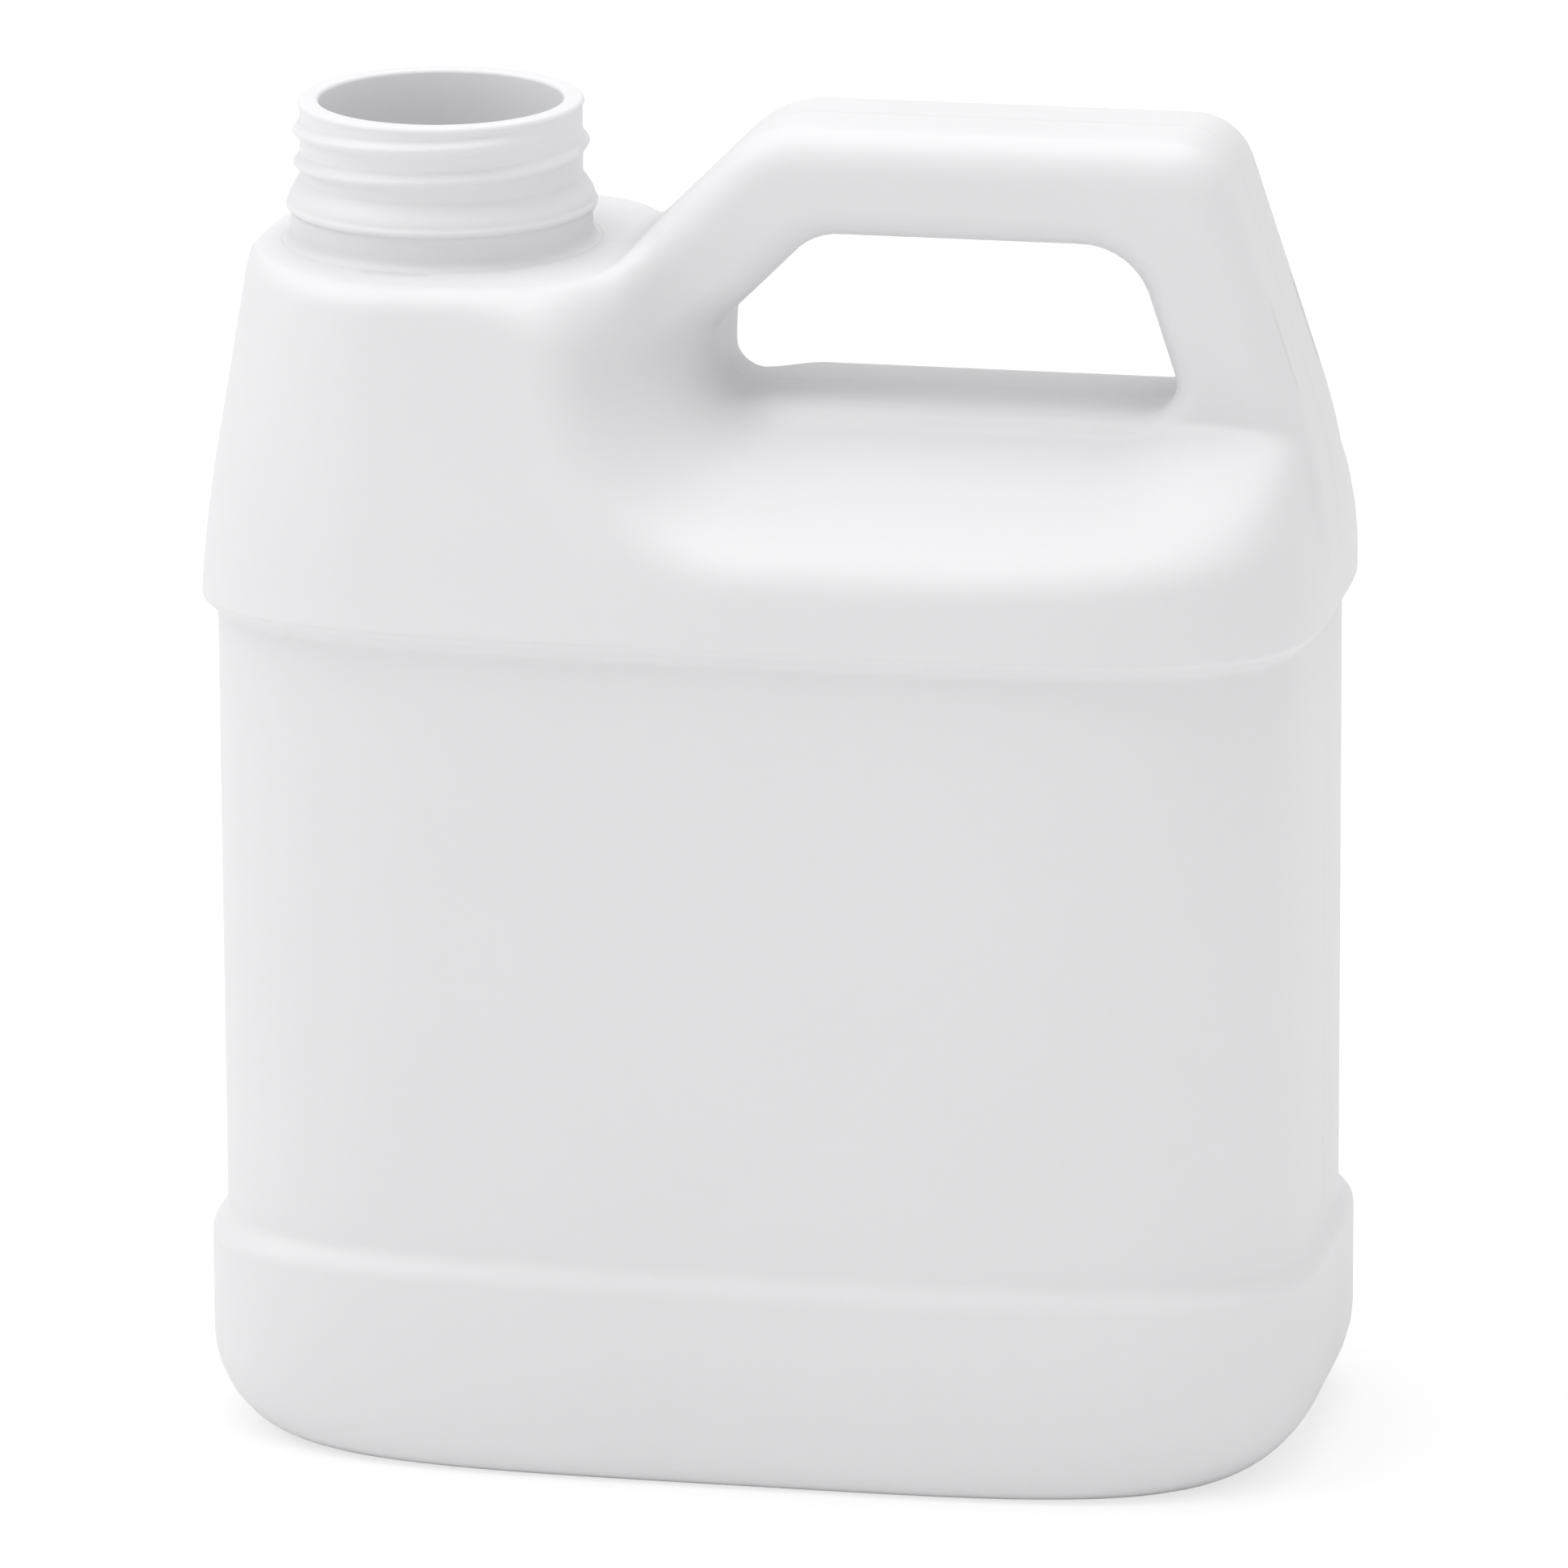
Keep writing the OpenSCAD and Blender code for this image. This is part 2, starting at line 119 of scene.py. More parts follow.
def steps_between(low: float, high: float, count: int) -> list[float]:
    """Returns count heights after low, the last of them high."""
    return [mix(low, high, k / count) for k in range(1, count + 1)]


@dataclass
class Outline:
    """A line in the plane of the parting, as points of place along the jug and height."""

    points: Path
    runs: list[float] = field(default_factory=list)

    def __post_init__(self) -> None:
        """Measures how far along the line each of its points is."""
        self.runs = [0.0]
        for a, b in zip(self.points, self.points[1:]):
            self.runs.append(self.runs[-1] + math.dist(a, b))

    def at(self, share: float) -> Point:
        """Returns the point at a share of the line's length."""
        target = share * self.runs[-1]
        for k in range(1, len(self.points)):
            if self.runs[k] >= target - 1e-9:
                span = self.runs[k] - self.runs[k - 1]
                return blend_points(self.points[k - 1], self.points[k], (target - self.runs[k - 1]) / span)
        return self.points[-1]

    def sampled(self, shares: list[float]) -> Path:
        """Returns the points at several shares of the line's length."""
        return [self.at(s) for s in shares]

    def distance(self, x: float, z: float) -> float:
        """Returns the distance from a place to the nearest part of the line."""
        best = 1e9
        for (ax, az), (bx, bz) in zip(self.points, self.points[1:]):
            dx, dz = bx - ax, bz - az
            t = clamp01(((x - ax) * dx + (z - az) * dz) / max(dx * dx + dz * dz, 1e-12))
            best = min(best, math.hypot(x - ax - dx * t, z - az - dz * t))
        return best

    def height(self, x: float) -> float:
        """Returns the height of the line above a place along the jug."""
        if x <= self.points[0][0]:
            return self.points[0][1]
        for a, b in zip(self.points, self.points[1:]):
            if a[0] <= x <= b[0]:
                return mix(a[1], b[1], (x - a[0]) / max(b[0] - a[0], 1e-9))
        return self.points[-1][1]


ARC_STEPS = 24


def turn(before: Point, corner: Point, after: Point, radius: float) -> Path:
    """Returns the points of the arc that rounds a corner.

    Args:
        before: the corner before this one.
        corner: the corner to round.
        after: the corner after this one.
        radius: the radius of the arc.

    Returns:
        ARC_STEPS + 1 points from one straight to the next.
    """
    here = Vector(corner)
    u = (Vector(before) - here).normalized()
    v = (Vector(after) - here).normalized()
    half = u.angle(v) / 2.0
    centre = here + (u + v).normalized() * radius / math.sin(half)
    start = (here + u * radius / math.tan(half) - centre).normalized()
    end = (here + v * radius / math.tan(half) - centre).normalized()
    sweep = start.angle(end)
    arc = []
    for k in range(ARC_STEPS + 1):
        t = k / ARC_STEPS
        way = start * math.sin((1.0 - t) * sweep) + end * math.sin(t * sweep)
        arc.append(tuple(centre + way / math.sin(sweep) * radius))
    return arc


def round_at(centre: Point, radius: float, angles: list[float]) -> Path:
    """Returns points round a centre, at angles in degrees up from the +X side."""
    turns = [math.radians(a) for a in angles]
    return [(centre[0] + radius * math.cos(t), centre[1] + radius * math.sin(t)) for t in turns]


@dataclass
class JugForm:
    """The form of the moulding: how far its skin lies from the plane of the parting.

    Sizes, places and heights are in mm. Powers, slants, leans, the squeeze and the curve are plain numbers.
    """

    # The body, its bands and its panel
    half_length: float = 72.0
    half_depth: float = 38.4
    plan_power: float = 4.2
    shoulder_height: float = 110.0
    band_height: float = 25.2
    end_radius: float = 12.0
    foot_radius: float = 2.5
    panel_recess: float = 1.85
    ledge_rise: float = 3.3
    step_rise: float = 2.5
    skin_margin: float = 3.0

    # The slants of the two ends above the shoulder
    slant_rise: float = 8.0
    slant_end_drop: float = 1.7
    left_blend: float = 1.2
    leg_start_rise: float = 16.3
    leg_slant: float = 0.33
    leg_blend: float = 4.0
    end_drop: float = 1.0
    end_drop_start: float = 3.0
    end_drop_height: float = 15.0

    # The tower and the shelf round the neck
    neck_x: float = -43.6
    tower_height: float = 151.7
    tower_depth: float = 60.0
    tower_reach: float = 24.4
    tower_flank: float = 18.6
    tower_fade: float = 30.0
    crown_rise: float = 0.7
    shelf_inset: float = 0.3
    shelf_reach: float = 60.0
    shelf_round_power: float = 2.0
    shelf_long_power: float = 4.0
    shelf_radius: float = 3.0
    shelf_radius_gain: float = 4.0
    shelf_gain_start: float = 8.0
    shelf_gain_run: float = 14.0
    shelf_edge_reach: float = 30.0
    shelf_edge_depth: float = 12.0

    # The handle, outside
    handle_height: float = 170.4
    handle_depth: float = 26.0
    bar_thickness: float = 13.3
    saddle_reach: float = 24.8
    rise_thickness: float = 20.5
    outer_edge_radius: float = 5.0
    corner_radii: tuple[float, ...] = (3.0, 5.0, 13.0, 8.0)
    side_drop: float = 8.0
    leg_lift: float = 1.0
    handle_start: float = 10.0
    handle_fade: float = 9.0
    seam_flat: float = 0.4
    seam_flat_reach: float = 25.0

    # The finger gap
    gap_left: float = -6.6
    gap_right: float = 54.1
    gap_lean: float = 0.326
    gap_radii: tuple[float, ...] = (3.2, 4.0, 9.0, 7.7, 3.0)
    gap_edge_radius: float = 3.7
    lip_height: float = 135.6
    root_edge: float = 4.6
    root_edge_end: float = 4.0
    root_edge_run: float = 8.0
    root_edge_top: float = 16.0
    root_edge_fade: float = 12.0
    root_blend: float = 6.0
    lip_blend: float = 2.0
    root_blend_run: float = 30.0

    # The slope between the shoulder and the lip, with its bowl at the foot of the tower
    slope_power: float = 6.5
    slope_fall: float = 13.8
    slope_top_drop: float = 2.6
    slope_overlap: float = 0.5
    slope_inset: float = 2.4
    slope_curve: float = 0.87
    slope_run_off: float = 2.0
    slope_margin: float = 8.0
    fold_width: float = 6.0
    bowl_x: float = 0.6
    bowl_rise: float = 6.4
    bowl_squeeze: float = 0.88
    bowl_lean: float = 0.35
    bowl_lean_start: float = 4.0
    bowl_lean_blend: float = 8.0
    leg_rise: float = 2.4
    leg_rise_start: float = 9.0
    leg_rise_run: float = 12.0

    def __post_init__(self) -> None:
        """Works out the lines that the skin is measured from."""
        self.slant_start = self.shoulder_height + self.slant_rise
        self.leg_start = self.shoulder_height + self.leg_start_rise
        slant_height = self.tower_height - self.slant_end_drop - self.slant_start
        self.left_slant = (self.half_length + self.neck_x - self.tower_reach) / slant_height
        self.end_flat = self.handle_depth / 2.0 - self.outer_edge_radius
        self.shelf_height = self.tower_height + self.crown_rise
        self.gap_top = self.handle_height - self.bar_thickness
        self.side_z, self.leg_z = self.tower_height - self.side_drop, self.tower_height + self.leg_lift
        self.slope_low = self.lip_height - self.slope_fall
        self.slope_high = self.lip_height - self.slope_top_drop
        self.bowl = (self.bowl_x, self.lip_height + self.bowl_rise)
        saddle = (self.neck_x + self.saddle_reach, self.shelf_height)
        self.draw_outside(saddle)
        self.draw_gap(saddle)

    def draw_outside(self, saddle: Point) -> None:
        """Draws the outline of the shelf and of the handle's outside.

        Args:
            saddle: the corner at which the shelf meets the handle's rise.
        """
        corners = [
            (self.left_x(self.side_z), self.side_z),
            (self.neck_x - self.tower_reach + self.shelf_inset, self.shelf_height),
            saddle,
            (saddle[0] + self.handle_height - saddle[1], self.handle_height),
            (self.right_x(self.handle_height), self.handle_height),
            (self.right_x(self.leg_z), self.leg_z),
        ]
        arcs = [turn(*corners[k : k + 3], radius) for k, radius in enumerate(self.corner_radii)]
        mid = ARC_STEPS // 2
        shelf_end, foot, rise, leg = arcs
        self.outer_left = Outline([corners[0]] + shelf_end[: mid + 1])
        self.outer_shelf = Outline(shelf_end[mid:] + foot)
        self.outer_bar = Outline([foot[-1]] + rise + [leg[0]])
        self.outer_corner = Outline(leg[: mid + 1])
        self.outer_leg = Outline(([*leg[mid:], corners[5]])[::-1])
        self.top_path = Outline([corners[0], *shelf_end, *foot, *rise, *leg, corners[5]])
        self.top_line = Outline([*shelf_end[mid:], *foot, *rise, *leg[: mid + 1]])

    def draw_gap(self, saddle: Point) -> None:
        """Draws the outline of the finger gap.

        Args:
            saddle: the corner at which the shelf meets the handle's rise.
        """
        offset = saddle[1] - saddle[0] - self.rise_thickness
        gap = [
            (self.gap_left, self.lip_height),
            (self.gap_right, self.lip_height),
            (self.gap_right - (self.gap_top - self.lip_height) * self.gap_lean, self.gap_top),
            (self.gap_top - offset, self.gap_top),
            (self.gap_left, self.gap_left + offset),
        ]
        around = [gap[-1], *gap, gap[0]]
        rounds = [turn(*around[k : k + 3], radius) for k, radius in enumerate(self.gap_radii)]
        mid = ARC_STEPS // 2
        low_left, low_right, high_right, high_left, rise_foot = rounds
        self.gap_bottom = Outline(low_left[mid:] + low_right[: mid + 1])
        self.gap_right_side = Outline(low_right[mid:] + high_right[: mid + 1])
        self.gap_top_side = Outline((high_right[mid:] + high_left + rise_foot[: mid + 1])[::-1])
        self.gap_left_side = Outline((rise_foot[mid:] + low_left[: mid + 1])[::-1])
        self.gap_loop = Outline([p for arc in rounds for p in arc] + [low_left[0]])

    def recess(self, z: float) -> float:
        """Returns how far the skin lies below the bands at a height."""
        rise = ease((z - self.band_height) / self.ledge_rise)
        fall = ease((z - self.shoulder_height + self.step_rise) / self.step_rise)
        return self.panel_recess * rise * (1.0 - fall)

    def depth_at(self, z: float) -> float:
        """Returns half the depth of the body at a height."""
        return self.half_depth - self.recess(z) - edge_loss(z, self.foot_radius)

    def end_at(self, z: float) -> float:
        """Returns half the length of the body at a height, before its ends slant."""
        return self.half_length - self.recess(z) - edge_loss(z, self.end_radius)

    def left_x(self, z: float) -> float:
        """Returns the place of the neck end at a height."""
        return -self.end_at(z) + soft_max(0.0, (z - self.slant_start) * self.left_slant, self.left_blend)

    def right_x(self, z: float) -> float:
        """Returns the place of the handle end at a height."""
        return self.end_at(z) - soft_max(0.0, (z - self.leg_start) * self.leg_slant, self.leg_blend)

    def end_x(self, side: Side, z: float) -> float:
        """Returns the place of either end at a height."""
        return self.left_x(z) if side is Side.NECK_END else self.right_x(z)

    def slope_y(self, z: float) -> float:
        """Returns the half depth of the slope between the shoulder and the lip."""
        inner = self.handle_depth / 2.0 - self.slope_overlap
        if z >= self.slope_high:
            return max(inner - self.slope_run_off * (z - self.slope_high), 0.0)
        share = (self.slope_high - z) / (self.slope_high - self.slope_low)
        return mix(inner, self.half_depth - self.slope_inset, share**self.slope_curve)

    def bowl_z(self, x: float, z: float) -> float:
        """Returns the height on the plain slope that a place on the slope or the tower's side matches."""
        above = soft_max(z - self.lip_height - self.bowl_lean_start, 0.0, self.bowl_lean_blend)
        side = min(x + self.bowl_lean * above - self.bowl[0], 0.0)
        down = math.hypot(self.bowl_squeeze * side, max(self.bowl[1] - z, 0.0))
        rise = ease((x - self.gap_right + self.leg_rise_start) / self.leg_rise_run)
        rise *= ease((z - self.slope_low) / (self.lip_height - self.slope_low))
        return self.bowl[1] - down - self.leg_rise * rise

    def plan_share(self, x: float, z: float, power: float) -> float:
        """Returns the share of the depth that a square plan leaves at a place along the jug."""
        drop = self.end_drop * ease((z - self.shoulder_height - self.end_drop_start) / self.end_drop_height)
        reach = x / self.left_x(z) if x < 0.0 else x / (self.right_x(z) - drop)
        return (1.0 - clamp01(reach) ** power) ** (1.0 / power)

    def shelf_y(self, x: float, z: float) -> float:
        """Returns the half depth of the shelf round the neck."""
        if x < self.neck_x:
            reach, power = (self.neck_x - x) / (self.neck_x - self.left_x(z)), self.shelf_round_power
        else:
            reach, power = (x - self.neck_x) / self.shelf_reach, self.shelf_long_power
        return self.tower_depth / 2.0 * max(1.0 - clamp01(reach) ** power, 0.0) ** (1.0 / power)

    def front_y(self, x: float, z: float) -> float:
        """Returns the half depth of the body and the tower, before the slope is taken out."""
        lift = clamp01((z - self.shoulder_height) / (self.tower_height - self.shoulder_height))
        fade = 1.0 - ease((x - self.neck_x - self.tower_flank) / self.tower_fade)
        body = self.depth_at(z) * self.plan_share(x, z, self.plan_power)
        return mix(body, self.shelf_y(x, z), lift * fade)

    def body_y(self, x: float, z: float) -> float:
        """Returns the half depth of the body, the tower and the slope together."""
        front = self.front_y(x, z)
        if z < self.slope_low - self.slope_margin:
            return front
        share = 1.0 if x < 0.0 else self.plan_share(x, z, self.slope_power)
        face = soft_min(front, self.slope_y(self.bowl_z(x, z)) * share, self.fold_width)
        if x < self.neck_x + self.shelf_edge_reach and z > self.tower_height - self.shelf_edge_depth:
            gain = ease((x - self.neck_x - self.shelf_gain_start) / self.shelf_gain_run)
            face -= edge_loss(self.top_line.height(x) - z, self.shelf_radius + self.shelf_radius_gain * gain)
        return face

    def gap_edge(self, x: float, z: float) -> float:
        """Returns the radius of the edge of the finger gap, rounder at the foot of the tower."""
        along = ease((self.root_edge_end - x) / self.root_edge_run)
        up = ease((self.lip_height + self.root_edge_top - z) / self.root_edge_fade)
        return self.gap_edge_radius + self.root_edge * along * up

    def handle_y(self, x: float, z: float) -> float:
        """Returns the half depth of the handle, with the edges along its outside and its gap."""
        to_top = self.top_path.distance(x, z) if z > self.side_z else self.outer_edge_radius
        to_outer = min(to_top, max(self.right_x(z) - x, 0.0))
        loss = edge_loss(to_outer, self.outer_edge_radius)
        fade = ease((x - self.neck_x - self.handle_start) / self.handle_fade)
        return (self.handle_depth / 2.0 - loss) * fade

    def flat_y(self, x: float, z: float) -> float:
        """Returns the half width of the flat strip along the parting."""
        if x > self.neck_x + self.seam_flat_reach:
            return self.end_flat - self.gap_edge_radius
        share = ease((z - self.slant_start) / (self.tower_height - self.slant_start))
        return mix(self.end_flat, self.seam_flat, share)

    def skin_y(self, x: float, z: float) -> float:
        """Returns how far the skin lies in front of the plane of the parting."""
        if z < self.shoulder_height + self.skin_margin:
            return max(self.body_y(x, z), self.end_flat)
        loss = edge_loss(self.gap_loop.distance(x, z), self.gap_edge(x, z))
        width = mix(self.root_blend, self.lip_blend, ease((x - self.gap_left) / self.root_blend_run))
        return max(soft_max(self.body_y(x, z), self.handle_y(x, z), width) - loss, self.flat_y(x, z))


@dataclass(frozen=True)
class Plastic:
    """Natural white polyethylene, satin, with the fine texture of a blasted mould.

    The scales of its patterns are per metre, and the heights of its bumps in metres.
    """

    name: str = "natural_polyethylene"
    colour: tuple[float, float, float] = (0.87, 0.87, 0.88)
    cloud_colour: tuple[float, float, float] = (0.85, 0.85, 0.86)
    roughness: float = 0.42
    roughness_spread: float = 0.05
    refraction: float = 1.5
    light_through: float = 0.25
    cloud_scale: float = 28.0
    wave_scale: float = 60.0
    wave_strength: float = 0.25
    wave_height: float = 0.0004
    grain_scale: float = 1800.0
    grain_strength: float = 0.2
    grain_height: float = 0.00004

    def make(self) -> bpy.types.Material:
        """Builds the material on Object coordinates.

        Returns:
            The finished material.
        """
        mat = bpy.data.materials.new(self.name)
        mat.use_nodes = True
        nodes, links = mat.node_tree.nodes, mat.node_tree.links
        shader = nodes["Principled BSDF"]
        shader.inputs["IOR"].default_value = self.refraction
        coords = nodes.new("ShaderNodeTexCoord")
        clouds = self.noise(nodes, links, coords, self.cloud_scale, 1.0)
        tint = nodes.new("ShaderNodeMix")
        tint.data_type = "RGBA"
        tint.inputs["A"].default_value = (*self.cloud_colour, 1.0)
        tint.inputs["B"].default_value = (*self.colour, 1.0)
        links.new(clouds.outputs["Fac"], tint.inputs["Factor"])
        links.new(tint.outputs["Result"], shader.inputs["Base Color"])
        sheen = nodes.new("ShaderNodeMapRange")
        sheen.inputs["To Min"].default_value = self.roughness - self.roughness_spread
        sheen.inputs["To Max"].default_value = self.roughness + self.roughness_spread
        links.new(clouds.outputs["Fac"], sheen.inputs["Value"])
        links.new(sheen.outputs["Result"], shader.inputs["Roughness"])
        waves = self.noise(nodes, links, coords, self.wave_scale, 0.0)
        grain = self.noise(nodes, links, coords, self.grain_scale, 0.0)
        broad = self.bump(nodes, links, waves, self.wave_strength, self.wave_height, None)
        fine = self.bump(nodes, links, grain, self.grain_strength, self.grain_height, broad)
        links.new(fine.outputs["Normal"], shader.inputs["Normal"])
        through = nodes.new("ShaderNodeBsdfTranslucent")
        links.new(tint.outputs["Result"], through.inputs["Color"])
        both = nodes.new("ShaderNodeMixShader")
        both.inputs["Fac"].default_value = self.light_through
        links.new(shader.outputs["BSDF"], both.inputs[1])
        links.new(through.outputs["BSDF"], both.inputs[2])
        links.new(both.outputs["Shader"], nodes["Material Output"].inputs["Surface"])
        return mat

    @staticmethod
    def noise(
        nodes: bpy.types.Nodes,
        links: bpy.types.NodeLinks,
        coords: bpy.types.Node,
        scale: float,
        detail: float,
    ) -> bpy.types.Node:
        """Adds a noise pattern read from the Object coordinates.

        Args:
            nodes: the nodes of the material.
            links: the links of the material.
            coords: the coordinates node.
            scale: how fine the pattern is, per metre.
            detail: how many octaves it has.

        Returns:
            The noise node.
        """
        pattern = nodes.new("ShaderNodeTexNoise")
        pattern.inputs["Scale"].default_value = scale
        pattern.inputs["Detail"].default_value = detail
        links.new(coords.outputs["Object"], pattern.inputs["Vector"])
        return pattern

    @staticmethod
    def bump(
        nodes: bpy.types.Nodes,
        links: bpy.types.NodeLinks,
        pattern: bpy.types.Node,
        strength: float,
        height: float,
        under: bpy.types.Node | None,
    ) -> bpy.types.Node:
        """Adds a bump made from a pattern.

        Args:
            nodes: the nodes of the material.
            links: the links of the material.
            pattern: the node whose Fac output is the height.
            strength: how strongly it turns the surface.
            height: its full height in metres.
            under: a bump to lay this one over, if there is one.

        Returns:
            The bump node.
        """
        node = nodes.new("ShaderNodeBump")
        node.inputs["Strength"].default_value = strength
        node.inputs["Distance"].default_value = height
        links.new(pattern.outputs["Fac"], node.inputs["Height"])
        if under is not None:
            links.new(under.outputs["Normal"], node.inputs["Normal"])
        return node


def finish_piece(bm: bmesh.types.BMesh, name: str, material: bpy.types.Material) -> bpy.types.Object:
    """Turns a bmesh in mm into a smooth piece of the jug in metres.

    Args:
        bm: the shape, which is freed.
        name: the name of the piece.
        material: its finish.

    Returns:
        The new object, riding on the jug's one body.
    """
    bmesh.ops.scale(bm, vec=(MM, MM, MM), verts=bm.verts)
    for face in bm.faces:
        face.smooth = True
    mesh = bpy.data.meshes.new(name)
    bm.to_mesh(mesh)
    bm.free()
    mesh.materials.append(material)
    piece = bpy.data.objects.new(name, mesh)
    bpy.context.scene.collection.objects.link(piece)
    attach(piece, "root")
    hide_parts("jug")
    return piece


@dataclass
class Moulding:
    """The one-piece body: bands, panel, tower, slope and hollow handle. Sizes in mm."""

    form: JugForm
    plastic: bpy.types.Material
    wall: float = 1.0
    left_columns: int = 56
    middle_columns: int = 48
    right_columns: int = 28
    slope_rows: int = 34
    gap_rows: int = 18
    top_rows: int = 26
    foot_rows: int = 6
    end_shares: tuple[float, ...] = (0.1, 0.22, 0.36, 0.55, 0.78, 1.0)
    edge_margin: float = 0.8
    gap_inset_left: float = 1.3
    gap_inset_right: float = 5.0
    crowding: float = 0.75
    mouth_cut: float = 16.9
    mouth_cut_depth: float = 0.4
    ridge_width: float = 0.35
    ridge_height: float = 0.07
    slit_low: float = 2.0
    slit_drop: float = 1.5
    floor_clear: float = 0.5
    end_clear: float = 0.2
    strip_shares: tuple[float, ...] = (0.86, 0.7, 0.52, 0.34, 0.17)

    def low_rows(self) -> list[float]:
        """Returns the heights of the level rows, from the floor to above the shoulder step."""
        f = self.form
        turns = [math.pi / 2.0 * k / self.foot_rows for k in range(self.foot_rows + 1)]
        rows = [f.foot_radius * (1.0 - math.cos(t)) for t in turns]
        rows += [mix(f.foot_radius, f.end_radius, s) for s in self.end_shares]
        stops = (
            (f.band_height - self.edge_margin, 3),
            (f.band_height + f.ledge_rise + self.edge_margin, 11),
            (f.shoulder_height - f.step_rise - self.edge_margin, 12),
            (f.shoulder_height + self.edge_margin, 9),
            (f.shoulder_height + f.skin_margin, 2),
        )
        for height, count in stops:
            rows += steps_between(rows[-1], height, count)
        return rows

    def level_row(self, z: float, shares: tuple[list[float], list[float], list[float]]) -> Path:
        """Returns the points of one level row under the finger gap."""
        f = self.form
        stops = (
            f.left_x(z),
            f.gap_left + self.gap_inset_left,
            f.gap_right - self.gap_inset_right,
            f.right_x(z),
        )
        row = [(stops[0], z)]
        for k in range(3):
            row += [(mix(stops[k], stops[k + 1], s), z) for s in shares[k][1:]]
        return row

    @staticmethod
    def block(low: Path, high: Path, left: Path, right: Path, shares: list[float]) -> list[Path]:
        """Fills a four-sided patch between two rows and two side curves.

        Args:
            low: the points of the lower row.
            high: the points of the upper row.
            left: the points of the left side, one for each share.
            right: the points of the right side, one for each share.
            shares: how far up each row is.

        Returns:
            The rows of points, the first and the last included.
        """
        count = len(low) - 1
        rows = []
        for j, v in enumerate(shares):
            ends = blend_points(low[0], high[0], v), blend_points(low[-1], high[-1], v)
            row = []
            for i in range(count + 1):
                u = i / count
                x, z = blend_points(low[i], high[i], v)
                x += (left[j][0] - ends[0][0]) * (1.0 - u) + (right[j][0] - ends[1][0]) * u
                z += (left[j][1] - ends[0][1]) * (1.0 - u) + (right[j][1] - ends[1][1]) * u
                row.append((x, z))
            rows.append(row)
        return rows

    def end_curve(self, side: Side, low: Point, high: Point, shares: list[float]) -> Path:
        """Returns points up one end of the jug, between two heights."""
        heights = [mix(low[1], high[1], s) for s in shares]
        return [(self.form.end_x(side, z), z) for z in heights]

    def grid(self) -> tuple[list[Path], int, int]:
        """Lays out the grid of the front half in the plane of the parting.

        Returns:
            The rows of points, and the rows at which the finger gap begins and ends.
        """
        f = self.form
        c0, c1 = self.left_columns, self.left_columns + self.middle_columns
        last = c1 + self.right_columns
        left = [mix(e, w, self.crowding) for w, e in zip(waved(self.left_columns), even(self.left_columns))]
        middle, right = even(self.middle_columns), waved(self.right_columns)
        rows = [self.level_row(z, (left, middle, right)) for z in self.low_rows()]

        lip = f.gap_bottom.sampled(middle)
        rise = f.gap_top_side.sampled(middle)
        lip_row = self.joined(lip, lip[0][1], lip[-1][1], left, right)
        rise_row = self.joined(rise, f.side_z, f.leg_z, left, right)
        shelf = f.outer_shelf.sampled(left)
        bar = f.outer_bar.sampled(middle)
        corner = f.outer_corner.sampled(even(self.right_columns))
        top_row = shelf + bar[1:] + corner[1:]

        slope = [math.sin(math.pi / 2.0 * s) for s in even(self.slope_rows)]
        sides = (
            self.end_curve(Side.NECK_END, rows[-1][0], lip_row[0], slope),
            self.end_curve(Side.HANDLE_END, rows[-1][-1], lip_row[-1], slope),
        )
        rows += self.block(rows[-1], lip_row, *sides, slope)[1:]
        gap_start = len(rows) - 1

        gap = waved(self.gap_rows)
        neck_side = self.end_curve(Side.NECK_END, lip_row[0], rise_row[0], gap)
        leg_side = self.end_curve(Side.HANDLE_END, lip_row[-1], rise_row[-1], gap)
        neck_edge, leg_edge = f.gap_left_side.sampled(gap), f.gap_right_side.sampled(gap)
        before = self.block(lip_row[: c0 + 1], rise_row[: c0 + 1], neck_side, neck_edge, gap)
        after = self.block(lip_row[c1:], rise_row[c1:], leg_edge, leg_side, gap)
        empty = [(0.0, 0.0)] * (self.middle_columns - 1)
        rows += [a + empty + b for a, b in zip(before[1:-1], after[1:-1])]

        top = waved(self.top_rows)
        cut_left = [blend_points(rise_row[c0], top_row[c0], v) for v in top]
        cut_right = [blend_points(rise_row[c1], top_row[c1], v) for v in top]
        tower = self.block(rise_row[: c0 + 1], top_row[: c0 + 1], f.outer_left.sampled(top), cut_left, top)
        beam = self.block(rise_row[c0 : c1 + 1], top_row[c0 : c1 + 1], cut_left, cut_right, top)
        knee = self.block(rise_row[c1 : last + 1], top_row[c1:], cut_right, f.outer_leg.sampled(top), top)
        gap_end = len(rows)
        rows += [a + b[1:] + c[1:] for a, b, c in zip(tower, beam, knee)]
        return rows, gap_start, gap_end

    def joined(
        self,
        centre: Path,
        left_z: float,
        right_z: float,
        left: list[float],
        right: list[float],
    ) -> Path:
        """Runs a row from the neck end to the gap, along one side of it, and on to the handle end.

        Args:
            centre: the points along the side of the gap.
            left_z: the height at which the row starts at the neck end.
            right_z: the height at which it stops at the handle end.
            left: the shares of the points before the gap.
            right: the shares of the points after it.

        Returns:
            The points of the whole row.
        """
        start = (self.form.left_x(left_z), left_z)
        end = (self.form.right_x(right_z), right_z)
        before = [blend_points(start, centre[0], s) for s in left]
        after = [blend_points(centre[-1], end, s) for s in right]
        return before + centre[1:] + after[1:]

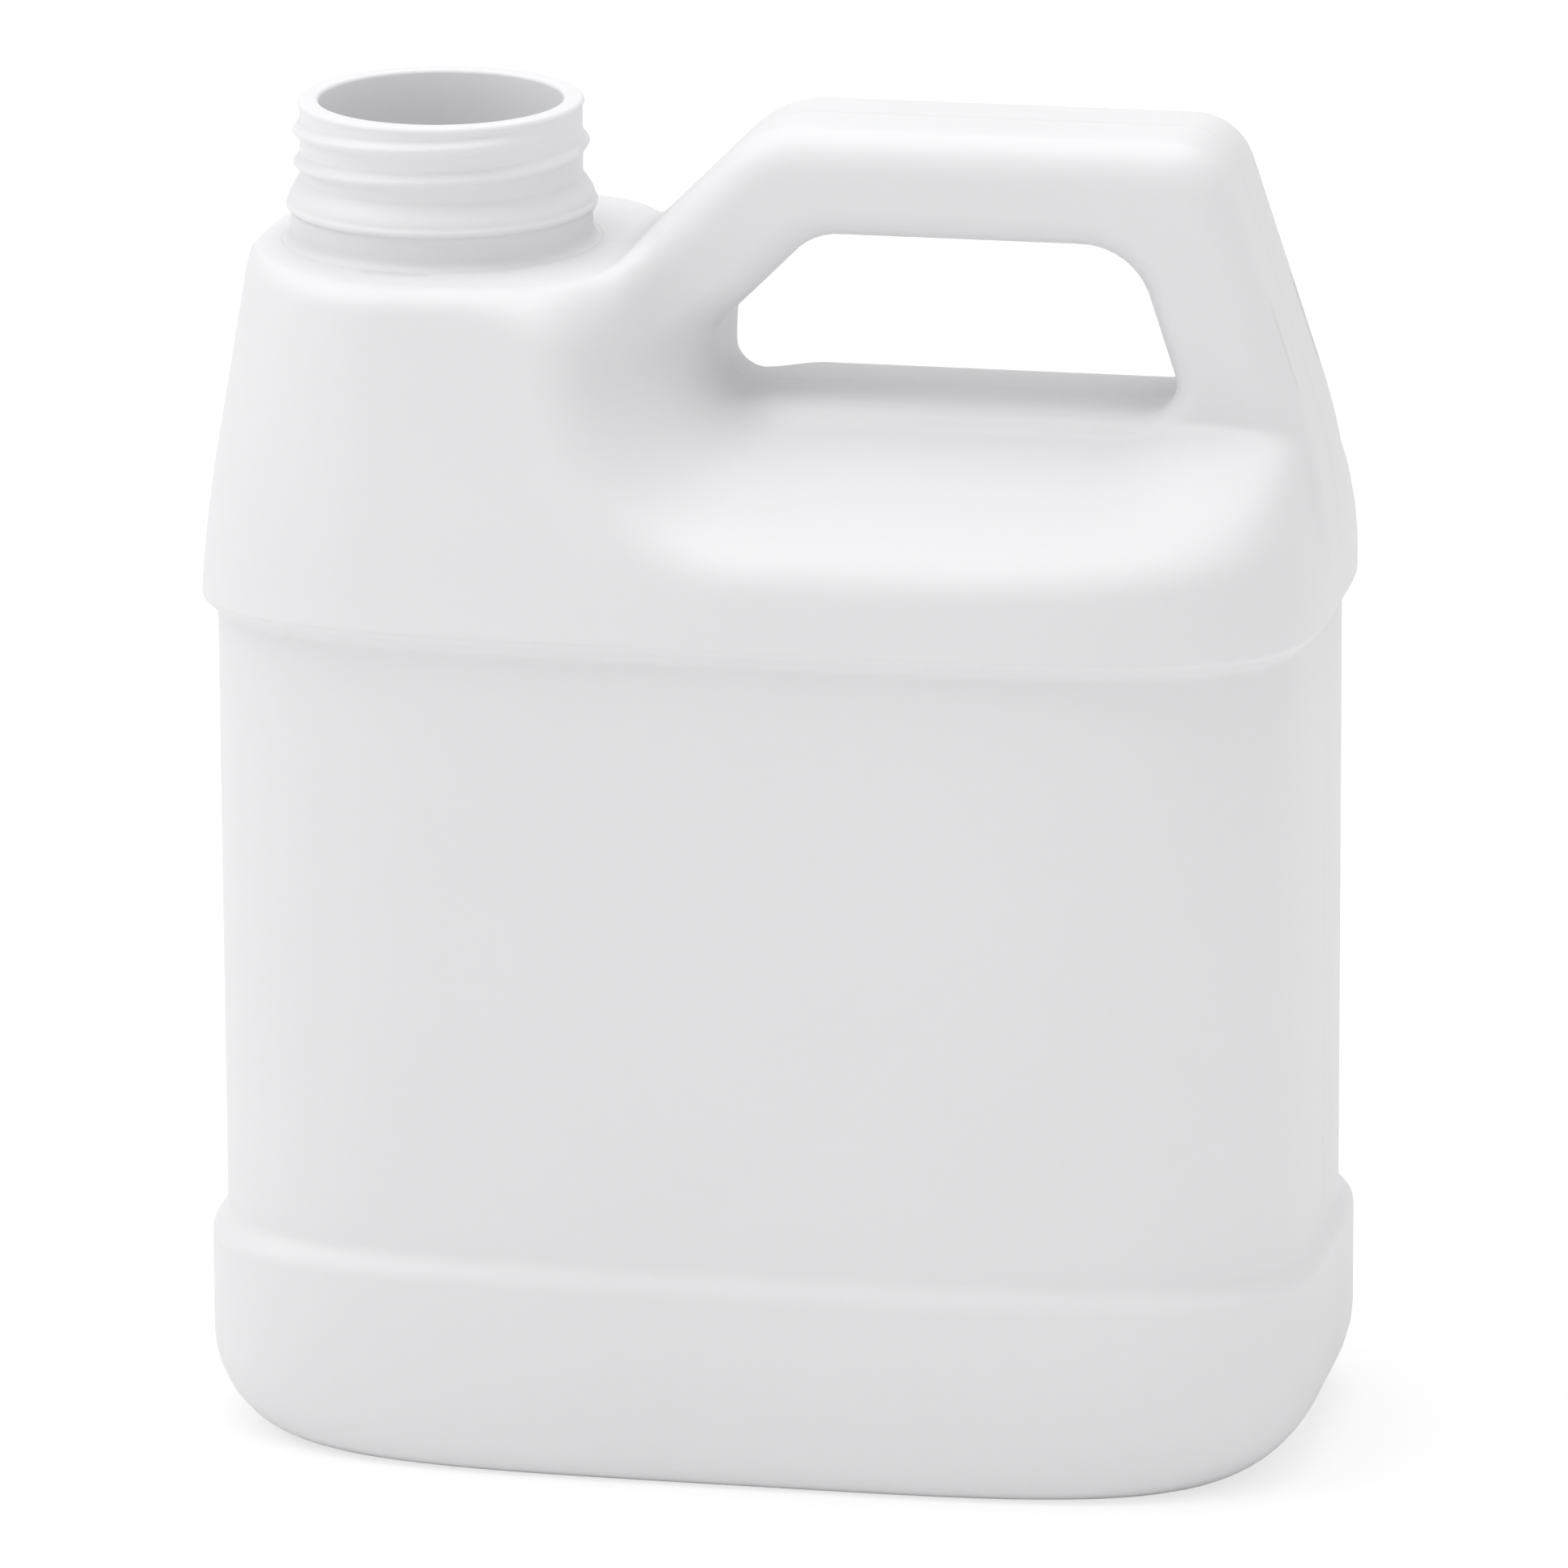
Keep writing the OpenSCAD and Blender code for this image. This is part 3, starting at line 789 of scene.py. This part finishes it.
    def front_half(self) -> bmesh.types.BMesh:
        """Bends a flat grid to the front half of the skin and leaves the finger gap open.

        Returns:
            The front half, open along the strip of the parting.
        """
        rows, gap_start, gap_end = self.grid()
        columns, count = len(rows[0]) - 1, len(rows) - 1
        c0, c1 = self.left_columns, self.left_columns + self.middle_columns
        bm = bmesh.new()
        bmesh.ops.create_grid(bm, x_segments=columns, y_segments=count, size=1.0)
        depth = bm.verts.layers.float.new("edge_depth")
        spare = []
        for vert in bm.verts:
            i = round((vert.co.x + 1.0) / 2.0 * columns)
            j = round((vert.co.y + 1.0) / 2.0 * count)
            if c0 < i < c1 and gap_start < j < gap_end:
                spare.append(vert)
                continue
            x, z = rows[j][i]
            y = self.form.skin_y(x, z)
            vert.co = (x, -y, z)
            vert[depth] = y
        bmesh.ops.delete(bm, geom=spare, context="VERTS")
        return bm

    def parting_strip(self, bm: bmesh.types.BMesh) -> None:
        """Runs the skin on to the plane of the parting in narrow strips, the last with its fine ridge.

        Args:
            bm: the front half, whose open edges are extruded.
        """
        depth = bm.verts.layers.float["edge_depth"]
        flat = self.ridge_width
        # The last strip, marked by a share below 0, ends on the plane itself
        for share in (*self.strip_shares, 0.0, -1.0):
            edges = [e for e in bm.edges if e.is_boundary]
            new = bmesh.ops.extrude_edge_only(bm, edges=edges)["geom"]
            for vert in (g for g in new if isinstance(g, bmesh.types.BMVert)):
                vert.co.y = 0.0 if share < 0.0 else -(flat + (vert[depth] - flat) * share)
        bm.normal_update()

    def raise_ridge(self, bm: bmesh.types.BMesh) -> None:
        """Lifts the line of the parting a little out of the skin."""
        bm.normal_update()
        line = [v for v in bm.verts if abs(v.co.y) < NEAR]
        moves = [(v, Vector((v.normal.x, 0.0, v.normal.z)).normalized()) for v in line]
        for vert, way in moves:
            slit = vert.co.x > 0.0 and self.slit_low < vert.co.z < self.form.band_height - self.slit_drop
            limit = vert.co.z < self.floor_clear or abs(vert.co.x) > self.form.half_length - self.end_clear
            vert.co += way * (-self.ridge_height if slit or limit else self.ridge_height)

    def cut_mouth(self, bm: bmesh.types.BMesh) -> None:
        """Opens the shelf under the neck with a round edge."""
        f = self.form
        axis = Vector((f.neck_x, 0.0, 0.0))

        def radius(co: Vector) -> float:
            """Returns the distance of a point from the neck's axis."""
            return math.hypot(co.x - axis.x, co.y)

        inside = [
            face
            for face in bm.faces
            if face.calc_center_median().z > f.shelf_height - self.mouth_cut_depth
            and radius(face.calc_center_median()) < self.mouth_cut
        ]
        bmesh.ops.delete(bm, geom=inside, context="FACES")
        for vert in {v for e in bm.edges if e.is_boundary for v in e.verts}:
            r = radius(vert.co)
            vert.co.x = axis.x + (vert.co.x - axis.x) * self.mouth_cut / r
            vert.co.y *= self.mouth_cut / r

    def build(self) -> bpy.types.Object:
        """Builds the moulding from its front half and gives it its wall.

        Returns:
            The finished piece.
        """
        bm = self.front_half()
        self.parting_strip(bm)
        half = bm.verts[:] + bm.edges[:] + bm.faces[:]
        bmesh.ops.mirror(bm, geom=half, matrix=Matrix(), merge_dist=MERGE, axis="Y")
        bmesh.ops.remove_doubles(bm, verts=bm.verts, dist=MERGE)
        bmesh.ops.recalc_face_normals(bm, faces=bm.faces)
        self.raise_ridge(bm)
        self.cut_mouth(bm)
        piece = finish_piece(bm, "jug_body", self.plastic)
        shell = piece.modifiers.new("wall", "SOLIDIFY")
        shell.thickness = self.wall * MM
        shell.offset = -1.0
        return piece


@dataclass
class Neck:
    """The neck: rim, thread, bead and the fillet at its foot. Sizes in mm."""

    form: JugForm
    plastic: bpy.types.Material
    rim_height: float = 170.5
    mouth_radius: float = 15.5
    root_radius: float = 17.95
    root_depth: float = 1.1
    bore_foot: float = 2.0
    bore_top: float = 4.0
    mouth_round: float = 0.55
    rim_round: float = 0.6
    rim_flare: float = 0.25
    rim_skirt: float = 0.9
    thread_depth: float = 0.95
    thread_pitch: float = 4.15
    thread_front: float = 163.4
    thread_half_width: float = 1.15
    thread_sharpness: float = 1.5
    thread_turns: tuple[float, float] = (-0.62, 1.17)
    thread_run_in: float = 0.1
    thread_seam_loss: float = 0.55
    thread_seam_width: float = 0.16
    thread_clear: float = 1.6
    cone_height: float = 3.6
    cone_inset: float = 0.35
    cone_start: float = 0.12
    cone_foot: float = 0.75
    cone_rows: int = 9
    bead_radius: float = 19.8
    bead_height: float = 157.1
    bead_round: float = 0.6
    skirt_radius: float = 19.2
    skirt_drop: float = 1.1
    skirt_rows: int = 5
    foot_fillet: float = 1.3
    foot_tuck: float = 0.1
    foot_sink: float = 0.5
    hidden_radius: float = 17.3
    seam_width: float = 0.3
    seam_height: float = 0.1
    segments: int = 192
    row_height: float = 0.28

    def profile(self) -> Path:
        """Returns the half section of the neck as radius and height, closed."""
        shelf, rim = self.form.shelf_height, self.rim_height
        bore = (shelf - self.root_depth, shelf + self.bore_foot, rim - self.bore_top)
        inner = [(self.mouth_radius, z) for z in bore]
        inside = (self.mouth_radius + self.mouth_round, rim - self.mouth_round)
        outside = (self.root_radius + self.rim_flare - self.rim_round, rim - self.rim_round)
        lip = round_at(inside, self.mouth_round, [180.0 - 15.0 * k for k in range(7)])
        lip += round_at(outside, self.rim_round, [90.0 - 15.0 * k for k in range(7)])

        wall_top, cone_top = rim - self.rim_skirt, self.bead_height + self.cone_height
        rows = int((wall_top - cone_top) / self.row_height)
        wall = [(self.root_radius, mix(wall_top, cone_top, k / rows)) for k in range(rows + 1)]
        cone = []
        for share in even(self.cone_rows)[1:]:
            out = ease(mix(self.cone_start, 1.0, share))
            r = mix(self.root_radius, self.bead_radius - self.cone_inset, out)
            cone.append((r, mix(cone_top, self.bead_height + self.cone_foot, share)))

        crest = (self.bead_radius - self.bead_round, self.bead_height)
        bead = round_at(crest, self.bead_round, [60.0 - 20.0 * k for k in range(8)])
        skirt_top, foot_top = self.bead_height - self.skirt_drop, shelf + self.foot_fillet
        skirt = [(self.skirt_radius, mix(skirt_top, foot_top, share)) for share in even(self.skirt_rows)]
        foot_radius = self.skirt_radius + self.foot_fillet
        foot = round_at((foot_radius, foot_top), self.foot_fillet, [180.0 + 15.0 * k for k in range(1, 7)])
        root = [
            (foot_radius - self.foot_tuck, shelf - self.foot_sink),
            (self.hidden_radius, shelf - self.root_depth),
        ]
        return inner + lip + wall + cone + bead + skirt + foot + root

    def thread_rise(self, angle: float, z: float) -> float:
        """Returns how far the thread stands out of the neck at an angle and a height.

        Args:
            angle: the angle about the neck's axis from +X, in radians.
            z: the height.

        Returns:
            The rise in mm.
        """
        best = 0.0
        start, end = self.thread_turns
        for lap in range(-2, 3):
            turns = (angle + math.pi / 2.0) / math.tau + lap
            run = ease((turns - start) / self.thread_run_in) * ease((end - turns) / self.thread_run_in)
            away = abs(z - self.thread_front - self.thread_pitch * turns) / self.thread_half_width
            if run <= 0.0 or away >= 1.0:
                continue
            best = max(best, run * math.cos(away * math.pi / 2.0) ** self.thread_sharpness)
        fade = self.thread_seam_loss * math.exp(-((math.sin(angle) / self.thread_seam_width) ** 2))
        return self.thread_depth * best * (1.0 - fade)

    def raise_thread(self, bm: bmesh.types.BMesh) -> None:
        """Presses the thread and the line of the parting out of the spun neck."""
        for vert in bm.verts:
            dx, dy = vert.co.x - self.form.neck_x, vert.co.y
            r = math.hypot(dx, dy)
            if r < self.root_radius - self.seam_width:
                continue
            angle = math.atan2(dy, dx)
            threaded = vert.co.z > self.bead_height + self.thread_clear
            out = self.thread_rise(angle, vert.co.z) if threaded else 0.0
            out += self.seam_height * math.exp(-((math.sin(angle) * r / self.seam_width) ** 2))
            vert.co.x += dx / r * out
            vert.co.y += dy / r * out

    def build(self) -> bpy.types.Object:
        """Spins the section about the neck's axis and gives it its thread.

        Returns:
            The finished piece.
        """
        axis = Vector((self.form.neck_x, 0.0, 0.0))
        bm = bmesh.new()
        section = self.profile()
        verts = [bm.verts.new((axis.x + r, 0.0, z)) for r, z in section]
        edges = [bm.edges.new((a, b)) for a, b in zip(verts, verts[1:] + verts[:1])]
        bmesh.ops.spin(
            bm,
            geom=verts + edges,
            cent=axis,
            axis=(0.0, 0.0, 1.0),
            angle=math.tau,
            steps=self.segments,
            use_merge=True,
        )
        bmesh.ops.remove_doubles(bm, verts=bm.verts, dist=NEAR)
        bmesh.ops.recalc_face_normals(bm, faces=bm.faces)
        self.raise_thread(bm)
        return finish_piece(bm, "jug_neck", self.plastic)


@dataclass(frozen=True)
class Lamp:
    """A square soft lamp: its place and the length of its side in metres, and its power in watts."""

    name: str
    place: tuple[float, float, float]
    watts: float
    size: float = 1.6

    def hang(self, target: Vector) -> None:
        """Hangs the lamp so that it faces a point."""
        data = bpy.data.lights.new(self.name, "AREA")
        data.shape = "SQUARE"
        data.size = self.size
        data.energy = self.watts
        lamp = bpy.data.objects.new(self.name, data)
        bpy.context.scene.collection.objects.link(lamp)
        lamp.location = self.place
        lamp.rotation_euler = (target - Vector(self.place)).to_track_quat("-Z", "Y").to_euler()


@dataclass
class Studio:
    """The floor, the soft light and the camera."""

    focal_length: float = 312.47
    sensor: float = 36.0
    target: tuple[float, float, float] = (0.000217, 0.0, 0.082319)
    distance: float = 1.7378
    azimuth: float = 11.419
    elevation: float = 15.703
    roll: float = -0.318
    world_level: float = 0.8
    floor_size: float = 12.0
    floor_colour: tuple[float, float, float] = (0.93, 0.93, 0.93)
    floor_glow: float = 0.7
    lamps: tuple[Lamp, ...] = (
        Lamp("top_left", (-1.6, -0.4, 2.0), 18.5),
        Lamp("top", (0.0, -0.1, 2.6), 19.5),
        Lamp("top_back", (0.0, 1.4, 2.1), 9.0),
    )

    def floor(self) -> None:
        """Lays the pale floor under the jug."""
        bm = bmesh.new()
        bmesh.ops.create_grid(bm, x_segments=1, y_segments=1, size=self.floor_size / 2.0)
        mesh = bpy.data.meshes.new("floor")
        bm.to_mesh(mesh)
        bm.free()
        floor = bpy.data.objects.new("floor", mesh)
        bpy.context.scene.collection.objects.link(floor)
        mat = bpy.data.materials.new("floor_white")
        mat.use_nodes = True
        shader = mat.node_tree.nodes["Principled BSDF"]
        shader.inputs["Base Color"].default_value = (*self.floor_colour, 1.0)
        shader.inputs["Roughness"].default_value = 1.0
        shader.inputs["Specular IOR Level"].default_value = 0.0
        self.lighten(mat)
        mesh.materials.append(mat)

    def lighten(self, mat: bpy.types.Material) -> None:
        """Lets the camera see the floor as nearly white, with the shadow of the jug still on it.

        Args:
            mat: the material of the floor.
        """
        nodes, links = mat.node_tree.nodes, mat.node_tree.links
        glow = nodes.new("ShaderNodeEmission")
        glow.inputs["Color"].default_value = (1.0, 1.0, 1.0, 1.0)
        path = nodes.new("ShaderNodeLightPath")
        share = nodes.new("ShaderNodeMath")
        share.operation = "MULTIPLY"
        share.inputs[1].default_value = self.floor_glow
        links.new(path.outputs["Is Camera Ray"], share.inputs[0])
        both = nodes.new("ShaderNodeMixShader")
        links.new(share.outputs["Value"], both.inputs["Fac"])
        links.new(nodes["Principled BSDF"].outputs["BSDF"], both.inputs[1])
        links.new(glow.outputs["Emission"], both.inputs[2])
        links.new(both.outputs["Shader"], nodes["Material Output"].inputs["Surface"])

    def world(self) -> None:
        """Fills the room with even white light."""
        world = bpy.data.worlds.new("room")
        world.use_nodes = True
        back = world.node_tree.nodes["Background"]
        back.inputs["Color"].default_value = (1.0, 1.0, 1.0, 1.0)
        back.inputs["Strength"].default_value = self.world_level
        bpy.context.scene.world = world

    def camera(self) -> None:
        """Sets the camera where the photograph was taken from."""
        psi, eps, rho = (math.radians(a) for a in (self.azimuth, self.elevation, self.roll))
        back = Vector((math.sin(psi) * math.cos(eps), -math.cos(psi) * math.cos(eps), math.sin(eps)))
        level = Vector((math.cos(psi), math.sin(psi), 0.0))
        upright = back.cross(level)
        right = level * math.cos(rho) + upright * math.sin(rho)
        up = upright * math.cos(rho) - level * math.sin(rho)
        data = bpy.data.cameras.new("camera")
        data.lens = self.focal_length
        data.sensor_width = self.sensor
        camera = bpy.data.objects.new("camera", data)
        bpy.context.scene.collection.objects.link(camera)
        turned = Matrix((right, up, back)).transposed().to_4x4()
        camera.matrix_world = Matrix.Translation(Vector(self.target) + back * self.distance) @ turned
        bpy.context.scene.camera = camera

    def build(self) -> None:
        """Sets up the floor, the light and the camera."""
        self.floor()
        self.world()
        for lamp in self.lamps:
            lamp.hang(Vector(self.target))
        self.camera()
        bpy.context.scene.view_settings.view_transform = "Standard"
        log.info("studio: floor, room light and %d lamps", len(self.lamps))


def main() -> None:
    """Builds the jug and the studio, and logs how many faces each piece has."""
    logging.basicConfig(level=logging.INFO, format="%(name)s: %(message)s")
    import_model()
    form = JugForm()
    plastic = Plastic().make()
    for part in (Moulding(form, plastic), Neck(form, plastic)):
        piece = part.build()
        log.info("%s: %d faces in its skin", piece.name, len(piece.data.polygons))
    Studio().build()


if __name__ == "__main__":
    main()
